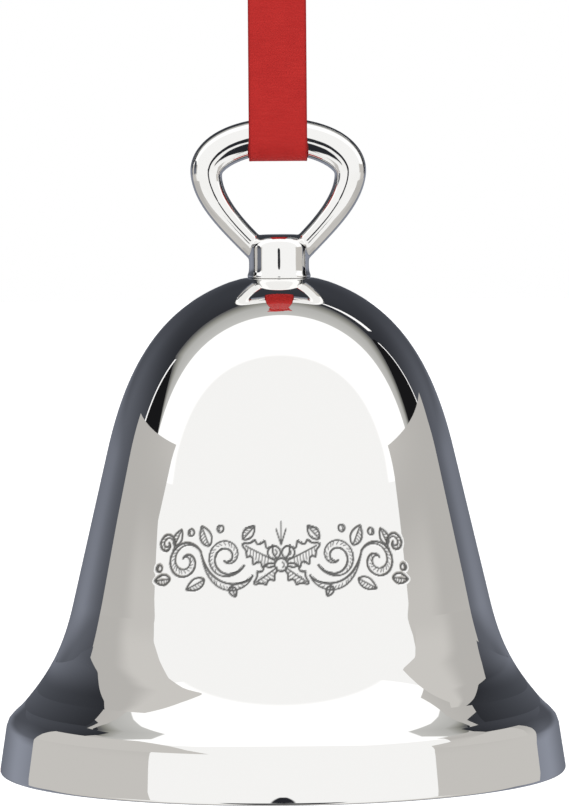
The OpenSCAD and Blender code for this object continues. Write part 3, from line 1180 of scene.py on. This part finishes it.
def make_cards():
    """On either side: a warm grey card, a pale screen in front of it, the flats and the strips."""
    grey = tinted_glow("card_grey", GREY_TINT)
    slate = tinted_glow("flat_slate", SLATE_TINT)
    pale = glow("screen_pale", WINDOW)
    for side, label in ((-1, "left"), (1, "right")):
        card, flat = CARDS[side], FLATS[side]
        far, ledge_outer, shelf_inner = [(0, DARK_FLAT_OUTER)], [(0, LEDGE_OUTER)], [(0, SHELF_INNER[side])]
        panels = (
            ("card", CARD_R, CARD_LOW, card["inner"], card["outer"], card["top"], grey, card_shade),
            ("screen", CARD_R, CARD_LOW, [(0, SCREEN_INNER)], card["inner"], SCREEN_TOP, pale, None),
            ("flat_grey", FLAT_R, FLAT_LOW, flat["inner"], flat["outer"], FLAT_TOP, grey, flat_shade),
            ("flat_dark", FLAT_R, FLAT_LOW, flat["outer"], far, DARK_FLAT_TOP, slate, dark_flat_shade),
            ("foot", FOOT_R, FOOT_SPAN[0], FOOT_INNER[side], far, FOOT_SPAN[1:] * 2, slate, foot_shade),
            ("ledge", LEDGE_R, LEDGE_SPAN[0], LEDGE_INNER[side], ledge_outer, LEDGE_SPAN[1:] * 2, grey,
             ledge_shade),
            ("shelf", LEDGE_R, SHELF_SPAN[0], shelf_inner, far, SHELF_SPAN[1:] * 2, slate, foot_shade),
        )
        for name, r, low, inner, outer, top, material, shade in panels:
            curved_panel(f"{name}_{label}", side, r, low, inner, outer, top, material, shade)


def make_floor():
    """A pale floor, well below the hanging bell, that runs out of sight. The silver sees the
    studio's lower half instead."""
    size = 20 / MM
    low = -FLOOR_DROP
    corners = [(-size, -size, low), (size, -size, low), (size, size, low), (-size, size, low)]
    material, graph = new_material("floor_pale")
    pale, white = (0.9, 0.9, 0.9, 1), (1, 1, 1, 1)
    graph.surface(
        {"Base Color": pale, "Roughness": 0.9, "Emission Color": white, "Emission Strength": 0.75}
    )
    floor = add_mesh("floor", corners, [(0, 1, 2, 3)], ABOVE_RIM)
    stage_piece(floor, material, seen=True)
    floor.visible_glossy = False


def make_world():
    """A studio of light: a broad window in front with a dark slot in its middle, a white ceiling
    with a grey edge, dark slate behind, thin gaps of light, and a dark mat below. Its edges are
    drawn in the parts of a direction, from -1 to 1. The camera itself sees plain white."""
    world = bpy.data.worlds.new("studio")
    bpy.context.scene.world = world
    world.use_nodes = True
    g = Graph(world.node_tree)
    direction = g.node("ShaderNodeTexCoord").outputs["Generated"]
    parts = g.node("ShaderNodeSeparateXYZ", {"Vector": direction}).outputs
    right, back, up = parts["X"], parts["Y"], parts["Z"]
    right_squared = g.product(right, right)
    side = g.math("ABSOLUTE", right)

    window_edge = g.total(back, 0.45, g.product(right_squared, -0.24))
    colour = g.mix(g.smooth(window_edge, -0.015, 0.015), WINDOW, WHITE)

    band_start = g.total(0.125, g.product(right, 0.03))
    left = g.product(right, -1.0)
    left_start = g.total(0.373, g.product(g.total(left, -0.74), -1.3))
    right_start = g.total(0.389, g.product(g.total(right, -0.66), -0.54))
    band_end = g.total(0.45, g.product(right_squared, -0.14))
    band_end = g.math("MINIMUM", band_end, g.math("MINIMUM", left_start, right_start))
    share = g.math(
        "DIVIDE", g.math("SUBTRACT", back, band_start), g.math("SUBTRACT", band_end, band_start)
    )
    ramp = g.node("ShaderNodeValToRGB", {"Fac": share})
    stops = (
        (0.0, WHITE), (0.03, (0.55, 0.55, 0.535)), (0.55, (0.46, 0.46, 0.445)), (0.8, (0.26, 0.26, 0.235)),
        (0.95, (0.12, 0.12, 0.12)),
    )
    for i, (place, shade) in enumerate(stops):
        stop = ramp.color_ramp.elements[i] if i < 2 else ramp.color_ramp.elements.new(place)
        stop.position = place
        stop.color = (*shade, 1)
    colour = g.mix(g.math("GREATER_THAN", share, 0.0), colour, ramp.outputs["Color"])

    level = g.total(0.04, g.smooth(up, 0.0, 0.6, 0.08, 0.0), g.smooth(up, -0.02, 0.14, 0.14, 0.0))
    level = g.product(level, g.smooth(back, 0.2, 0.8, 0.6, 1.1), g.smooth(back, 0.75, 1.0, 1.0, 0.6))
    slate = g.tinted(level, SLATE_TINT)
    behind = g.math("GREATER_THAN", share, 1.0)
    colour = g.mix(behind, colour, slate)

    def gap(line, half, side_value, start, end, shade):
        """A strip where back is within half of a line, between two values to the side."""
        off = g.math("ABSOLUTE", g.math("SUBTRACT", back, line))
        inside = g.product(
            g.math("LESS_THAN", off, half), g.math("GREATER_THAN", side_value, start),
            g.math("LESS_THAN", side_value, end),
        )
        return g.mix(inside, colour, shade)

    def wedge(line, start, side_value, side_start):
        """Near black between a start and a line of light."""
        half = g.product(g.math("SUBTRACT", line, start), 0.5)
        return gap(g.total(start, half), half, side_value, side_start, 0.95, (0.009, 0.009, 0.010))

    left_line = g.total(0.339, g.product(g.total(left, -0.766), 0.34))
    right_line = g.total(0.436, g.product(g.total(right, -0.676), 0.65))
    colour = wedge(right_line, right_start, right, 0.66)
    colour = wedge(left_line, left_start, left, 0.74)
    colour = gap(left_line, 0.011, left, 0.76, 0.9, WHITE)
    colour = gap(right_line, 0.008, right, 0.676, 0.86, WHITE)
    strip_half = g.smooth(right, 0.2, 0.6, 0.006, 0.022)
    colour = gap(0.487, strip_half, right, 0.2, 0.6, WHITE)

    warm = g.product(
        g.smooth(up, 0.17, 0.15), g.smooth(back, -0.40, -0.34), g.math("LESS_THAN", share, 1.0)
    )
    colour = g.mix(warm, colour, (0.55, 0.53, 0.50))

    lower = g.mix(g.smooth(back, -0.35, -0.1), (0.93, 0.93, 0.92), (0.56, 0.54, 0.51))
    lower = g.mix(g.smooth(back, 0.3, 0.4), lower, slate)
    reach = g.total(side, g.product(back, 0.5))
    mat = g.product(
        g.smooth(reach, 0.02, -0.02), g.smooth(up, -0.32, -0.36), g.smooth(up, -0.975, -0.96)
    )
    lower = g.mix(mat, lower, DARK)
    colour = g.mix(g.smooth(up, -0.08, -0.14), colour, lower)

    belly = g.product(g.total(up, 0.06), g.total(up, 0.06))
    slot_half = g.total(0.085, g.product(belly, -2.0))
    slot = g.smooth(g.math("SUBTRACT", slot_half, side), -0.012, 0.012)
    slot = g.product(slot, g.math("LESS_THAN", back, 0.0), g.smooth(up, 0.125, 0.1))
    colour = g.mix(slot, colour, DARK)

    seen = g.node("ShaderNodeLightPath").outputs["Is Camera Ray"]
    colour = g.mix(seen, colour, (1, 1, 1))
    g.end(g.node("ShaderNodeBackground", {"Color": colour}), "ShaderNodeOutputWorld")


make_cards()
make_floor()
make_world()
